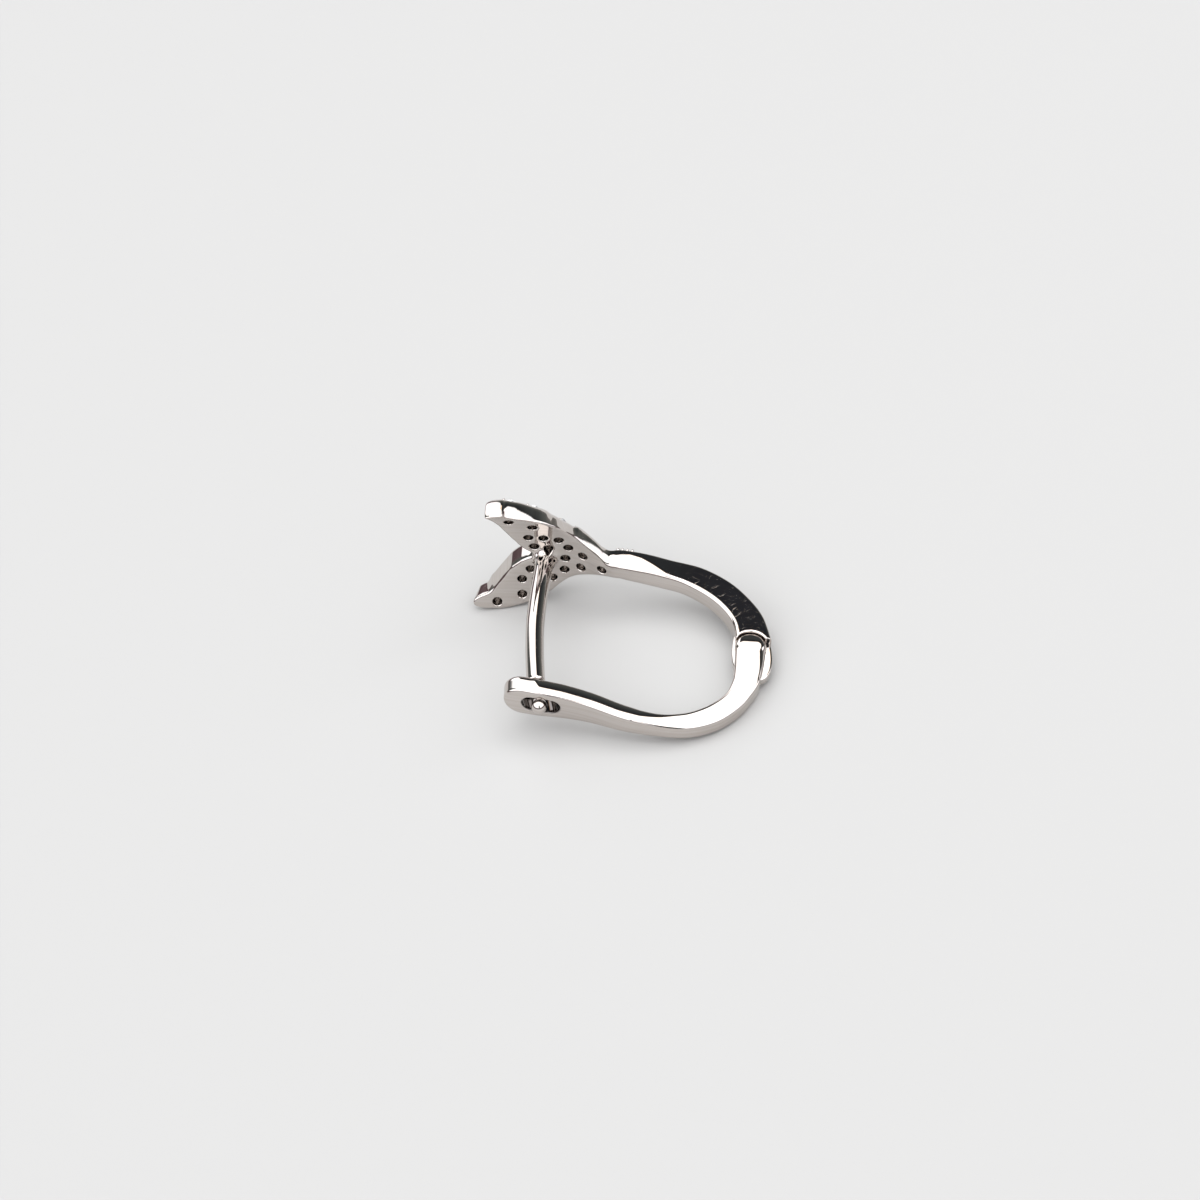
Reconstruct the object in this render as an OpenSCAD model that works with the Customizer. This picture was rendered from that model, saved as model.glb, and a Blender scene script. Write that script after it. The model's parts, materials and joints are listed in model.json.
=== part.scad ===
// Hinged cartilage earring: a forked, stone-set front half, a curved ear post and a latch lever.
// It is drawn as it is worn, x towards the hinge, y from the lever out to the stones and z across
// the hoop, with the root of the ear post at x = 0. lie_down() then turns it as it lies by itself.

/* [Front plate] */
// Reach of each lobe of the plate, from the middle of the hoop
lobe_reach = 3.72; // [3.6:0.01:3.9]
// Thickness of the plate
plate_t = 1.33; // [1.2:0.01:1.4]
// Distance that the tips of the lobes bend back
lobe_curl = 0.62; // [0.3:0.01:0.8]
// Set of the plate across the hoop: shift along the hoop for each millimetre from its middle
plate_skew = 0.08; // [0:0.01:0.1]
// Set of the plate to one side of the hoop
plate_shift = 0.16; // [0:0.01:0.2]
// Radius of the edges of the plate's back
plate_edge_r = 0.22; // [0.15:0.01:0.3]
// Radius that rounds the plate's stone-set face down to its sides
plate_dome_r = 0.65; // [0.5:0.01:0.7]

/* [Hoop] */
// Radius of the polished edges of the hoop's outer face
outer_edge_r = 0.13; // [0.05:0.01:0.15]
// Radius of the polished edges of the hoop's inner face
inner_edge_r = 0.17; // [0.1:0.01:0.2]

/* [Ear post] */
// Diameter of the ear post
post_d = 0.95; // [0.8:0.01:1]
// Diameter of the groove that the lever snaps on
groove_d = 0.56; // [0.5:0.01:0.6]
// Diameter of the post's round tip
tip_d = 0.8; // [0.7:0.01:0.84]

/* [Lever] */
// Width of the lever's rounded end, across the hoop
lever_end_w = 1.95; // [1.8:0.01:2.1]
// Length of the slot for the post's tip
slot_len = 1.85; // [1.8:0.01:1.95]
// Width of the slot
slot_w = 1; // [0.96:0.01:1.04]

/* [Hinge] */
// Diameter of the hinge pin
pin_d = 0.7; // [0.6:0.01:0.74]
// Radial clearance of the pin in the tongue
pin_play = 0.03; // [0.02:0.005:0.05]
// Thickness of the tongue between the lever's ears
tongue_t = 0.42; // [0.38:0.01:0.46]
// Gap on each side of the tongue
tongue_gap = 0.03; // [0.02:0.005:0.05]
// Radius of the lever's round ears
ear_r = 0.8; // [0.78:0.01:0.82]
// Gap between the ears and the recess that they turn in
ear_gap = 0.06; // [0.04:0.01:0.08]

/* [Stones] */
// Girdle diameter of the stones
stone_d = 0.72; // [0.66:0.01:0.74]
// Diameter of the drilled hole behind each stone
azure_d = 0.5; // [0.44:0.01:0.54]

/* [Resting pose] */
// Turn about the length of the hoop when it lies by itself
rest_tilt = 6.5; // [3:0.1:20]
// Fall of the hinge end when it lies by itself
rest_lean = 9.5; // [0:0.1:14]

/* [Hidden] */
$fn = 48;
PAIRS = [for (i = [1:9]) for (side = ["upper", "lower"]) str("stone_", side, "_", i)];
MIDDLES = [for (i = [1:5]) str("stone_middle_", i)];

METAL = [0.78, 0.77, 0.76];
LEVER_METAL = [0.72, 0.72, 0.73];
PIN_METAL = [0.6, 0.6, 0.62];
STONE = [0.9, 0.95, 1];

// Outline of the plate's middle: distance from the middle line, notch edge, flank edge
PLATE_MIDDLE = [
    [0.00, -0.45, 3.35],
    [0.25, -0.90, 3.32],
    [0.48, -1.20, 3.18],
    [0.65, -1.38, 2.95],
    [0.85, -1.55, 2.60],
    [1.05, -1.70, 2.28]
];
// Outlines of the two lobes, in the same columns
UPPER_LOBE = [
    [1.40, -1.97, 1.68],
    [2.00, -2.35, 0.92],
    [2.50, -2.66, 0.38],
    [2.95, -3.00, -0.40],
    [3.18, -3.18, -0.98],
    [3.38, -3.36, -1.50],
    [3.56, -3.38, -2.00],
    [3.66, -3.30, -2.36],
    [3.72, -3.16, -2.56]
];
LOWER_LOBE = [
    [1.40, -1.86, 1.72],
    [2.00, -2.20, 1.08],
    [2.50, -2.55, 0.66],
    [2.95, -3.02, 0.12],
    [3.15, -3.28, -0.22],
    [3.35, -3.38, -0.68],
    [3.52, -3.27, -1.15],
    [3.64, -3.02, -1.60],
    [3.72, -2.72, -2.00]
];
// Plate along the hoop: place, height of its back, share of its full thickness
PLATE_BACK = [
    [-3.50, 9.42, 1.04],
    [-2.90, 9.50, 1.04],
    [0.00, 9.62, 1.00],
    [1.20, 9.66, 0.99],
    [1.80, 9.52, 0.96],
    [2.40, 9.28, 0.91],
    [2.90, 9.06, 0.84],
    [3.40, 8.90, 0.78]
];
// Neck and shank of the front half: inner point, outer point, half width
SHANK = [
    [2.60, 9.20, 2.60, 10.28, 0.62],
    [3.20, 8.93, 3.25, 9.92, 0.54],
    [3.75, 8.78, 3.90, 10.00, 0.50],
    [4.80, 8.56, 4.90, 9.87, 0.51],
    [6.00, 8.32, 6.35, 9.57, 0.52],
    [7.20, 8.00, 7.95, 9.25, 0.53],
    [8.40, 7.25, 9.42, 8.42, 0.53],
    [9.20, 6.42, 10.48, 7.34, 0.53],
    [9.68, 5.55, 11.25, 6.12, 0.53],
    [9.86, 4.56, 11.68, 4.58, 0.53]
];
// Lever from its ears to the middle of its rounded end: inner point, outer point, half width
LEVER = [
    [9.84, 4.20, 11.40, 4.20, 0.53],
    [9.80, 3.20, 11.30, 3.20, 0.53],
    [9.77, 2.45, 11.14, 2.20, 0.53],
    [9.70, 1.95, 11.06, 1.76, 0.53],
    [9.45, 1.25, 10.73, 1.12, 0.52],
    [8.95, 0.68, 10.14, 0.26, 0.51],
    [8.25, 0.18, 9.04, -0.68, 0.50],
    [7.30, -0.21, 7.62, -1.20, 0.50],
    [6.10, -0.31, 6.10, -1.20, 0.53],
    [4.60, 0.04, 4.45, -0.93, 0.62],
    [2.90, 0.63, 2.65, -0.38, 0.74],
    [1.50, 0.95, 1.35, -0.10, 0.87],
    [0.30, 1.11, 0.20, 0.04, 0.955],
    [-0.60, 1.24, -0.70, 0.17, 0.975]
];
// Outline of the tongue, which fills the hoop between the lever's ears
TONGUE = [
    [10.35, 6.00], [10.95, 6.00], [11.52, 4.90], [11.64, 4.50], [11.71, 4.05],
    [11.73, 3.50], [11.68, 3.00], [11.57, 2.65], [11.40, 2.38], [11.10, 2.22],
    [10.60, 2.24], [10.10, 2.58], [9.80, 3.00], [9.69, 3.60], [9.69, 4.30],
    [9.76, 4.90], [9.95, 5.60]
];
PIVOT = [10.62, 4.2];
// Centre line of the upper, bent stretch of the post, from its root down
POST_BEND = [[0.02, 10.0], [-0.02, 9.4], [-0.12, 8.2], [-0.21, 7.0], [-0.26, 5.9], [-0.27, 4.95], [-0.24, 4.5]];
POST_TOP = [-0.28, 5.1];
POST_SHOULDER = [-0.05, 1.5];
POST_NECK = [0, 1.24];
TIP = [0.2, 0];
SLOT_CENTRE = [0.285, 0.03];
SLOT_SLANT = 12;
LEVER_SLOPE = 8;
// Stones in mirrored pairs: place along the hoop, distance from its middle
STONE_PAIRS = [
    [1.90, 0.44], [1.10, 0.85], [0.55, 1.45], [0.10, 0.78], [-0.25, 1.60],
    [-0.65, 0.89], [-1.02, 1.62], [-0.90, 2.60], [-2.15, 3.10]
];
// Stones on the middle line: place along the hoop, 1 if the seat is drilled through
STONE_MIDDLES = [[2.95, 1], [1.05, 1], [0.10, 0], [3.92, 0], [4.72, 0]];
SEAT_LEAN = 0.4;
SEAT_SINK = 0.1;
SEAT_GAP = 0.02;
CROWN_H = 0.11;
GIRDLE_H = 0.03;
PAVILION_H = 0.31;
TABLE_SHARE = 0.56;
FACETS = 8;
CURVE_STEPS = 3;
PLATE_STEPS = 2;

function spline(a, b, c, d, t) =
    0.5 * (2 * b + (c - a) * t + (2 * a - 5 * b + 4 * c - d) * t * t + (3 * b - a - 3 * c + d) * t * t * t);
function smooth_rows(rows, n) = let (last = len(rows) - 1) concat(
    [for (i = [0:last - 1]) for (k = [0:n - 1])
        spline(rows[max(i - 1, 0)], rows[i], rows[i + 1], rows[min(i + 2, last)], k / n)],
    [rows[last]]);
function backwards(list) = [for (i = [len(list) - 1:-1:0]) list[i]];

// Triangles of a closed tube through rings of equal length
function ring_faces(rings, m) = concat(
    [[for (j = [0:m - 1]) j]],
    [[for (j = [m - 1:-1:0]) (rings - 1) * m + j]],
    [for (i = [0:rings - 2]) for (j = [0:m - 1])
        let (a = i * m + j, b = i * m + (j + 1) % m) [b, a, b + m]],
    [for (i = [0:rings - 2]) for (j = [0:m - 1])
        let (a = i * m + j, b = i * m + (j + 1) % m) [b + m, a, a + m]]);
module through_rings(rings) {
    polyhedron([for (ring = rings) each ring], ring_faces(len(rings), len(rings[0])));
}

// Rounded rectangle between an inner and an outer point of the hoop
function corner(c, r, from) = [for (k = [0:2]) [c[0] + r * cos(from + 45 * k), c[1] + r * sin(from + 45 * k)]];
function band_ring(row) =
    let (p = [row[0], row[1]], q = [row[2], row[3]], w = row[4], t = norm(q - p), e = (q - p) / t,
        ri = min(inner_edge_r, 0.8 * w), ro = min(outer_edge_r, 0.8 * w),
        flat = concat(
            corner([t - ro, w - ro], ro, 0), corner([ri, w - ri], ri, 90),
            corner([ri, ri - w], ri, 180), corner([t - ro, ro - w], ro, 270)))
    [for (c = flat) [p[0] + e[0] * c[0], p[1] + e[1] * c[0], c[1]]];

// Plate section at a distance l from the middle, between its two edges
function curl(l) = lobe_curl * pow(abs(l) / lobe_reach, 2.4);
function back_at(u, l) = lookup(u, [for (r = PLATE_BACK) [r[0], r[1]]]) - curl(l);
function thick_at(u) = plate_t * lookup(u, [for (r = PLATE_BACK) [r[0], r[2]]]);
function edge_drop(e, r) = e >= r ? 0 : r - sqrt(r * r - (r - e) * (r - e));
function edge_places(u0, u1, r) = concat(
    [u0, u0 + 0.13 * r, u0 + 0.5 * r, u0 + r], [for (k = [1:3]) u0 + r + (u1 - u0 - 2 * r) * k / 4],
    [u1 - r, u1 - 0.5 * r, u1 - 0.13 * r, u1]);
function plate_ring(l, u0, u1) =
    let (back_r = min(plate_edge_r, (u1 - u0) / 3.4), front_r = min(plate_dome_r, (u1 - u0) / 2.6))
    concat(
        [for (u = edge_places(u0, u1, back_r))
            [u + plate_skew * l, back_at(u, l) + edge_drop(min(u - u0, u1 - u), back_r), l + plate_shift]],
        [for (u = backwards(edge_places(u0, u1, front_r)))
            [u + plate_skew * l, back_at(u, l) + thick_at(u) - edge_drop(min(u - u0, u1 - u), front_r), l + plate_shift]]);
function half_plate(lobe) =
    smooth_rows([for (r = concat(PLATE_MIDDLE, lobe)) [r[0] * lobe_reach / 3.72, r[1], r[2]]], PLATE_STEPS);
PLATE_RINGS = let (low = half_plate(LOWER_LOBE), high = half_plate(UPPER_LOBE)) concat(
    [for (r = backwards(low)) plate_ring(-r[0], r[1], r[2])],
    [for (i = [1:len(high) - 1]) plate_ring(high[i][0], high[i][1], high[i][2])]);
SHANK_RINGS = [for (r = smooth_rows(SHANK, CURVE_STEPS)) band_ring(r)];

// Rounded end of the lever, as rows that close in on its last point
function lever_end() = let (last = LEVER[len(LEVER) - 1], r = lever_end_w / 2, fall = tan(LEVER_SLOPE))
    [for (a = [15, 30, 45, 57, 68, 77]) let (s = r * sin(a))
        [last[0] - s, last[1] + s * fall, last[2] - s, last[3] + s * fall, r * cos(a)]];
LEVER_RINGS = [for (r = concat(smooth_rows(LEVER, CURVE_STEPS), lever_end())) band_ring(r)];

// Direction in which the seats are drilled out of the plate's back at a place: it leans with the back
function leaning(u, m) =
    let (h = 0.05, fall = [back_at(u + h, m) - back_at(u - h, m), back_at(u, m + h) - back_at(u, m - h)] / (2 * h))
    [-SEAT_LEAN * fall[0], 1, -SEAT_LEAN * fall[1], 1 + SEAT_LEAN * fall * fall];
function shank_outer(u) = lookup(u, [for (r = smooth_rows(SHANK, CURVE_STEPS)) [r[2], r[3]]]);
function drilled(u, l) = let (v = leaning(u, l - plate_shift)) [v[0], v[1], v[2]];
function front_at(u, l) = u > 3.3
    ? [u, shank_outer(u), l]
    : let (m = l - plate_shift)
        [u + plate_skew * m, back_at(u, m), l] + drilled(u, l) * thick_at(u) / leaning(u, m)[3];
function facing(u, l) =
    let (n = u > 3.3 ? [shank_outer(u - 0.1) - shank_outer(u + 0.1), 0.2, 0] : drilled(u, l)) n / norm(n);
module at_front(u, l) {
    n = facing(u, l);
    translate(front_at(u, l)) rotate([0, acos(n[2]), atan2(n[1], n[0])]) children();
}

// Seat for a stone, with its local z out of the metal
module seat(through) {
    r = stone_d / 2 + SEAT_GAP;
    cone = r - azure_d / 2;
    depth = SEAT_SINK + GIRDLE_H + SEAT_GAP;
    bottom = through ? -2 * plate_t : -depth - PAVILION_H;
    rotate_extrude() polygon([
        [0, bottom], [azure_d / 2, bottom], [azure_d / 2, -depth - cone * 0.86],
        [r, -depth], [r, 0.5], [0, 0.5]]);
}
module brilliant() {
    r = stone_d / 2;
    turn = 180 / FACETS;
    table = [for (i = [0:FACETS - 1]) let (a = 360 * i / FACETS)
        [r * TABLE_SHARE * cos(a), r * TABLE_SHARE * sin(a), CROWN_H - SEAT_SINK]];
    girdle = [for (z = [0, -GIRDLE_H]) for (i = [0:FACETS - 1]) let (a = 360 * i / FACETS + turn)
        [r * cos(a), r * sin(a), z - SEAT_SINK]];
    culet = [0, 0, -GIRDLE_H - PAVILION_H - SEAT_SINK];
    n = FACETS;
    polyhedron(concat(table, girdle, [culet]), concat(
        [[for (i = [n - 1:-1:0]) i]],
        [for (i = [0:n - 1]) [i, (i + 1) % n, n + i]],
        [for (i = [0:n - 1]) [(i + 1) % n, n + (i + 1) % n, n + i]],
        [for (i = [0:n - 1]) [n + i, n + (i + 1) % n, 2 * n + (i + 1) % n, 2 * n + i]],
        [for (i = [0:n - 1]) [2 * n + i, 2 * n + (i + 1) % n, 3 * n]]));
}

// Bar of round section between two points of the hoop's plane
module bar(p, q, r1, r2) {
    d = q - p;
    translate([p[0], p[1], 0]) rotate([-90, 0, atan2(d[1], d[0]) - 90]) cylinder(h = norm(d), r1 = r1, r2 = r2);
}
module post() {
    bend = smooth_rows(POST_BEND, 2);
    r = post_d / 2 - 0.004;
    through_rings([for (i = [0:len(bend) - 1])
        let (d = bend[min(i + 1, len(bend) - 1)] - bend[max(i - 1, 0)], e = d / norm(d))
        [for (a = [0:18:359]) [bend[i][0] - e[1] * r * cos(a), bend[i][1] + e[0] * r * cos(a), r * sin(a)]]]);
    bar(POST_TOP, POST_SHOULDER, post_d / 2, post_d / 2);
    bar(POST_SHOULDER, POST_NECK, post_d / 2, groove_d / 2);
    bar(POST_NECK, TIP, groove_d / 2, groove_d / 2);
    translate([TIP[0], TIP[1], 0]) sphere(d = tip_d);
}
module across(r, h) {
    translate([PIVOT[0], PIVOT[1], -h / 2]) cylinder(r = r, h = h);
}

// Turns the worn position into the one it lies in, with the middle of its box's floor at the origin
function turned(p) =
    let (y = p[1] * cos(rest_tilt) - p[2] * sin(rest_tilt), z = p[1] * sin(rest_tilt) + p[2] * cos(rest_tilt))
    [p[0] * cos(rest_lean) + z * sin(rest_lean), y, z * cos(rest_lean) - p[0] * sin(rest_lean)];
REACH = concat(
    [for (ring = concat(PLATE_RINGS, SHANK_RINGS, LEVER_RINGS)) for (p = ring) turned(p)],
    [for (p = TONGUE) for (side = [-1, 1]) turned([p[0], p[1], side * tongue_t / 2])]);
LOW = [for (k = [0:2]) min([for (p = REACH) p[k]])];
HIGH = [for (k = [0:2]) max([for (p = REACH) p[k]])];
module lie_down() {
    translate([-(LOW[0] + HIGH[0]) / 2, -(LOW[1] + HIGH[1]) / 2, -LOW[2]])
        rotate([rest_tilt, rest_lean, 0]) children();
}

module front_frame() {
    side = tongue_t / 2 + tongue_gap;
    color(METAL) difference() {
        union() {
            through_rings(PLATE_RINGS);
            difference() {
                through_rings(SHANK_RINGS);
                for (z = [-2 - side, side])
                    translate([PIVOT[0], PIVOT[1], z]) cylinder(r = ear_r + ear_gap, h = 2);
            }
            translate([0, 0, -tongue_t / 2]) linear_extrude(tongue_t) polygon(TONGUE);
            post();
        }
        across(pin_d / 2 + pin_play, 3);
        for (s = STONE_MIDDLES) at_front(s[0], 0) seat(s[1] == 1);
        for (s = STONE_PAIRS) for (z = [-1, 1]) at_front(s[0], z * s[1]) seat(true);
    }
}

module lever() {
    color(LEVER_METAL) difference() {
        union() {
            through_rings(LEVER_RINGS);
            across(ear_r, 1.04);
        }
        across(ear_r + 1.5, tongue_t + 2 * tongue_gap);
        across(pin_d / 2 + 0.005, 3);
        translate([SLOT_CENTRE[0], SLOT_CENTRE[1], 0]) rotate([0, 0, SLOT_SLANT]) rotate([90, 0, 0]) {
            for (x = [-1, 1])
                translate([x * (slot_len - slot_w) / 2, 0, -2]) cylinder(d = slot_w, h = 4);
            translate([-(slot_len - slot_w) / 2, -slot_w / 2, -2]) cube([slot_len - slot_w, slot_w, 4]);
        }
    }
}

module hinge_pin() {
    color(PIN_METAL) across(pin_d / 2, 1.02);
}

lie_down() front_frame();
lie_down() lever();
lie_down() hinge_pin();
for (i = [1:5])
    lie_down() color(STONE) at_front(STONE_MIDDLES[i - 1][0], 0) brilliant();
for (i = [1:9]) {
    lie_down() color(STONE) at_front(STONE_PAIRS[i - 1][0], STONE_PAIRS[i - 1][1]) brilliant();
    lie_down() color(STONE) at_front(STONE_PAIRS[i - 1][0], -STONE_PAIRS[i - 1][1]) brilliant();
}
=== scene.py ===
"""Looks of a hinged cartilage earring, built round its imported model.

Shapes are worked out in the hoop's own frame, in millimetres: x along the hoop to the hinge, y out to
the stones and z across the hoop. to_row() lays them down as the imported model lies, in metres.
"""
import json
import math

import bpy
import numpy as np
from mathutils import Matrix, Vector


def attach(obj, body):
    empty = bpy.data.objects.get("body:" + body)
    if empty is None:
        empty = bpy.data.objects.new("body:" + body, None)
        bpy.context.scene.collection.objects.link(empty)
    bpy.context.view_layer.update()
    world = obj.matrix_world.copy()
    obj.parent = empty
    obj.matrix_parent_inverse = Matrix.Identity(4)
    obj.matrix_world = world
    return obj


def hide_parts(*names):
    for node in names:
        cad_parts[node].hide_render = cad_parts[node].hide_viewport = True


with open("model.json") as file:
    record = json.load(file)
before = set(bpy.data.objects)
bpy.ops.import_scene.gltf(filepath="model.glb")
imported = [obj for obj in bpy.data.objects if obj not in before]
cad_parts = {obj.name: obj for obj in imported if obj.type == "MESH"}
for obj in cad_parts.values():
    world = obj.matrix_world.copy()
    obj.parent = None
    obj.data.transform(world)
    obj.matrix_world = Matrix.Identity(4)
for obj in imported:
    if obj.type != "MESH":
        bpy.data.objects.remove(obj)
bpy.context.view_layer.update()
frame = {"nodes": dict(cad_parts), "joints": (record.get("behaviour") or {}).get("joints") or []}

# Resting pose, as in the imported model
REST_TILT = math.radians(6.5)
REST_LEAN = math.radians(9.5)
PIVOT = np.array([10.62, 4.2, 0.0])
PIVOT_ROW = np.array(frame["joints"][0]["pos_m"], float)

# Grid that the shapes are worked out on, finer for the smaller pieces
STEP = 0.05
POST_STEP = STEP * 0.8
TONGUE_STEP = STEP * 0.64
LEVER_STEP = STEP * 0.9
# Boxes that hold the shapes: low corner, high corner
FRONT_BOX = (-3.95, -0.6, -3.85), (12.0, 11.3, 4.15)
PLATE_BOX = (-3.95, 7.6, -3.85), (4.6, 11.3, 4.15)
SHANK_BOX = (2.3, 3.0, -1.0), (12.0, 11.0, 1.0)
SOLDER_BOX = (-1.5, 8.0, -1.5), (1.5, 10.1, 1.5)
POST_BOX = (-0.9, -0.6, -0.6), (0.7, 9.3, 0.6)
TONGUE_BOX = (9.5, 2.0, -0.35), (11.9, 6.2, 0.35)
LEVER_BOX = (-1.9, -1.5, -1.15), (11.8, 5.25, 1.15)

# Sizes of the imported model
LOBE_REACH = 3.72
PLATE_T = 1.33
LOBE_CURL = 0.62
CURL_POWER = 2.4
PLATE_SKEW = 0.08
PLATE_SHIFT = 0.16
PLATE_EDGE_R = 0.16
PLATE_DOME_R = 0.65
OUTER_EDGE_R = 0.13
INNER_EDGE_R = 0.17
POST_R = 0.475
POST_SHOULDER = 1.5
POST_ROOT = 9.1
GROOVE_R = 0.28
TIP_R = 0.4
SLOT_LEN = 1.85
SLOT_W = 1.0
TONGUE_HALF = 0.21
FORK_HALF = 0.24
EAR_R = 0.8
RECESS_R = 0.84
STONE_R = 0.36
DRILL_R = 0.25
SEAT_LEAN = 0.4
SEAT_SINK = 0.1
SEAT_GAP = 0.02
SEAT_CONE = 0.86
DRILL_DEPTH = 2.2
CROWN_H = 0.11
GIRDLE_H = 0.03
PAVILION_H = 0.31
TABLE_SHARE = 0.56
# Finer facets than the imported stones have, between table and girdle and between girdle and culet: share
# of the radius, share of the height
STAR_SHARES = (0.8, 0.58)
PAVILION_SHARES = (0.42, 0.6)

# Beads that hold the stones, each off its stone's edge by GRAIN_GAP of its radius. They are larger on
# the shank, past EDGE_GRAINS_FROM along the hoop.
GRAIN_R = 0.07
GRAIN_GAP = 0.9
EDGE_GRAIN_R = 0.091
EDGE_GRAINS_FROM = 3.6
# More beads along the shank's upper edge: height across the hoop, and places along it
EDGE_GRAIN_HEIGHT = 0.55
EDGE_GRAINS = [3.72, 3.95, 4.20, 4.46]
# Stones in the lobes lie deeper by this much, because the face is rounder there
LOBE_SINK = 0.08
# The shank's outer face carries the stones past this place along the hoop
PLATE_END = 3.3

# Outline of the plate's middle: distance from the middle line, notch edge, flank edge
PLATE_MIDDLE = [
    (0.00, -0.45, 3.95), (0.22, -0.86, 3.85), (0.36, -1.06, 3.62), (0.47, -1.20, 3.38),
    (0.58, -1.30, 3.16), (0.72, -1.43, 2.90), (0.88, -1.57, 2.60), (1.05, -1.70, 2.28),
]
# Outlines of the two lobes, in the same columns
UPPER_LOBE = [
    (1.40, -1.97, 1.68), (2.00, -2.35, 0.92), (2.50, -2.66, 0.38),
    (2.95, -3.00, -0.40), (3.18, -3.22, -0.98), (3.38, -3.42, -1.50), (3.52, -3.22, -1.95),
    (3.62, -2.92, -2.27), (3.68, -2.66, -2.46), (3.69, -2.57, -2.51),
]
LOWER_LOBE = [
    (1.40, -1.88, 1.72), (2.00, -2.20, 1.08), (2.45, -2.44, 0.70), (2.68, -2.62, 0.46),
    (2.82, -2.86, 0.28), (2.94, -3.10, 0.12), (3.08, -3.31, -0.10), (3.26, -3.42, -0.46),
    (3.45, -3.40, -0.94), (3.61, -3.22, -1.45), (3.71, -2.85, -1.92),
]
# Plate along the hoop: place, height of its back, share of its full thickness
PLATE_BACK = [
    (-3.50, 9.42, 1.04), (-2.90, 9.50, 1.04), (0.00, 9.62, 1.00), (1.20, 9.66, 0.99),
    (1.80, 9.52, 0.96), (2.40, 9.28, 0.91), (2.90, 9.06, 0.84), (3.40, 8.89, 0.78),
    (3.90, 8.76, 0.88), (4.40, 8.66, 0.93),
]
# Neck and shank: inner point, outer point, half width
SHANK = [
    (2.60, 9.28, 2.60, 10.28, 0.60), (3.20, 9.00, 3.25, 9.92, 0.54),
    (3.75, 8.78, 3.90, 10.00, 0.50), (4.80, 8.56, 4.90, 9.87, 0.51),
    (6.00, 8.32, 6.35, 9.57, 0.52), (7.20, 8.00, 7.95, 9.25, 0.53),
    (8.40, 7.25, 9.42, 8.42, 0.53), (9.20, 6.42, 10.48, 7.34, 0.53),
    (9.68, 5.55, 11.25, 6.12, 0.53), (9.86, 4.56, 11.68, 4.58, 0.53),
]
# Lever from its ears to the middle of its rounded end, in the same columns
LEVER = [
    (9.84, 4.20, 11.40, 4.20, 0.53), (9.80, 3.20, 11.30, 3.20, 0.53),
    (9.77, 2.45, 11.14, 2.20, 0.53), (9.70, 1.95, 11.06, 1.76, 0.53),
    (9.45, 1.25, 10.73, 1.12, 0.52), (8.95, 0.68, 10.14, 0.26, 0.51),
    (8.25, 0.18, 9.04, -0.68, 0.50), (7.30, -0.21, 7.62, -1.20, 0.50),
    (6.10, -0.31, 6.10, -1.20, 0.53), (4.60, 0.04, 4.45, -0.93, 0.62),
    (2.90, 0.63, 2.65, -0.38, 0.74), (1.50, 0.95, 1.35, -0.10, 0.87),
    (0.30, 1.11, 0.20, 0.04, 0.955), (-0.60, 1.24, -0.70, 0.17, 0.975),
]
LEVER_SLOPE = math.radians(8)
END_REACH = 1.2
# Outline of the tongue between the lever's ears
TONGUE = [
    (10.35, 6.00), (10.95, 6.00), (11.52, 4.90), (11.64, 4.50), (11.71, 4.05), (11.73, 3.50),
    (11.68, 3.00), (11.57, 2.65), (11.40, 2.38), (11.10, 2.22), (10.60, 2.24), (10.10, 2.58),
    (9.80, 3.00), (9.69, 3.60), (9.69, 4.30), (9.76, 4.90), (9.95, 5.60),
]
# Centre line of the ear post, from its root down to its shoulder
POST = [
    (0.02, 10.0), (-0.02, 9.4), (-0.12, 8.2), (-0.21, 7.0), (-0.26, 5.9),
    (-0.28, 5.1), (-0.25, 4.1), (-0.17, 2.8), (-0.05, 1.5),
]
# The post's neck and tip: where they are, the neck's length, and as shares of that length how far it
# reaches back into the post and where it swells out to the shoulder
POST_NECK = (0.0, 1.24)
TIP = (0.2, 0.0)
POST_NECK_LEN = 1.26
POST_NECK_INSIDE = -0.3
POST_NECK_SWELL = (-0.02, -0.22)
SLOT_CENTRE = (0.285, 0.03)
SLOT_SLANT = math.radians(12)
# Stones in mirrored pairs: place along the hoop, distance from its middle
STONE_PAIRS = [
    (1.90, 0.44), (1.10, 0.85), (0.55, 1.45), (0.10, 0.78), (-0.25, 1.60),
    (-0.65, 0.89), (-1.02, 1.62), (-0.90, 2.60), (-2.15, 3.10),
]
# Stones on the middle line: place along the hoop, True if the seat is drilled through
STONE_MIDDLES = [(2.95, True), (1.05, True), (0.10, False), (3.92, False), (4.72, False)]

# Hand finishing of the plate, with slopes in millimetres for each millimetre
BEVEL_LEAN = math.radians(13)
BEVEL_BEND_R = 0.06
NOTCH_BEVEL = 0.03
NOTCH_DOME_R = 0.30
TIP_DOME_R = 0.50
LOBE_EDGE_R = 0.10
# Lower lobe's wall: inward slope at its tip, outward slope along its side
LOWER_TIP_SLOPE = 0.26
LOWER_FLARE = 0.11
# Upper flank of the plate: place along the hoop, width of its bevelled back edge, inward slope of its
# wall
FLANK = [
    (-3.80, 0.0, 0.0), (-2.56, 0.0, 0.0), (-2.46, 0.15, 0.04), (-2.30, 0.17, 0.0), (-1.85, 0.16, 0.0),
    (-1.40, 0.10, 0.0), (-1.05, 0.06, 0.0), (-0.55, 0.0, 0.03), (-0.25, 0.0, 0.08), (0.05, 0.0, 0.22),
    (1.25, 0.0, 0.22), (1.50, 0.0, 0.04), (1.70, 0.02, 0.0), (2.20, 0.065, 0.0), (2.80, 0.09, 0.0),
    (3.40, 0.14, 0.0), (3.90, 0.16, 0.0), (4.60, 0.16, 0.0),
]
# Where the plate's shift and its finishes start and where they are full, along the hoop
SHIFT_SPAN = (3.9, 2.6)
LOWER_TIP_SPAN = (-2.55, -2.75)
FLARE_ALONG = (-2.6, -2.3)
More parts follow.
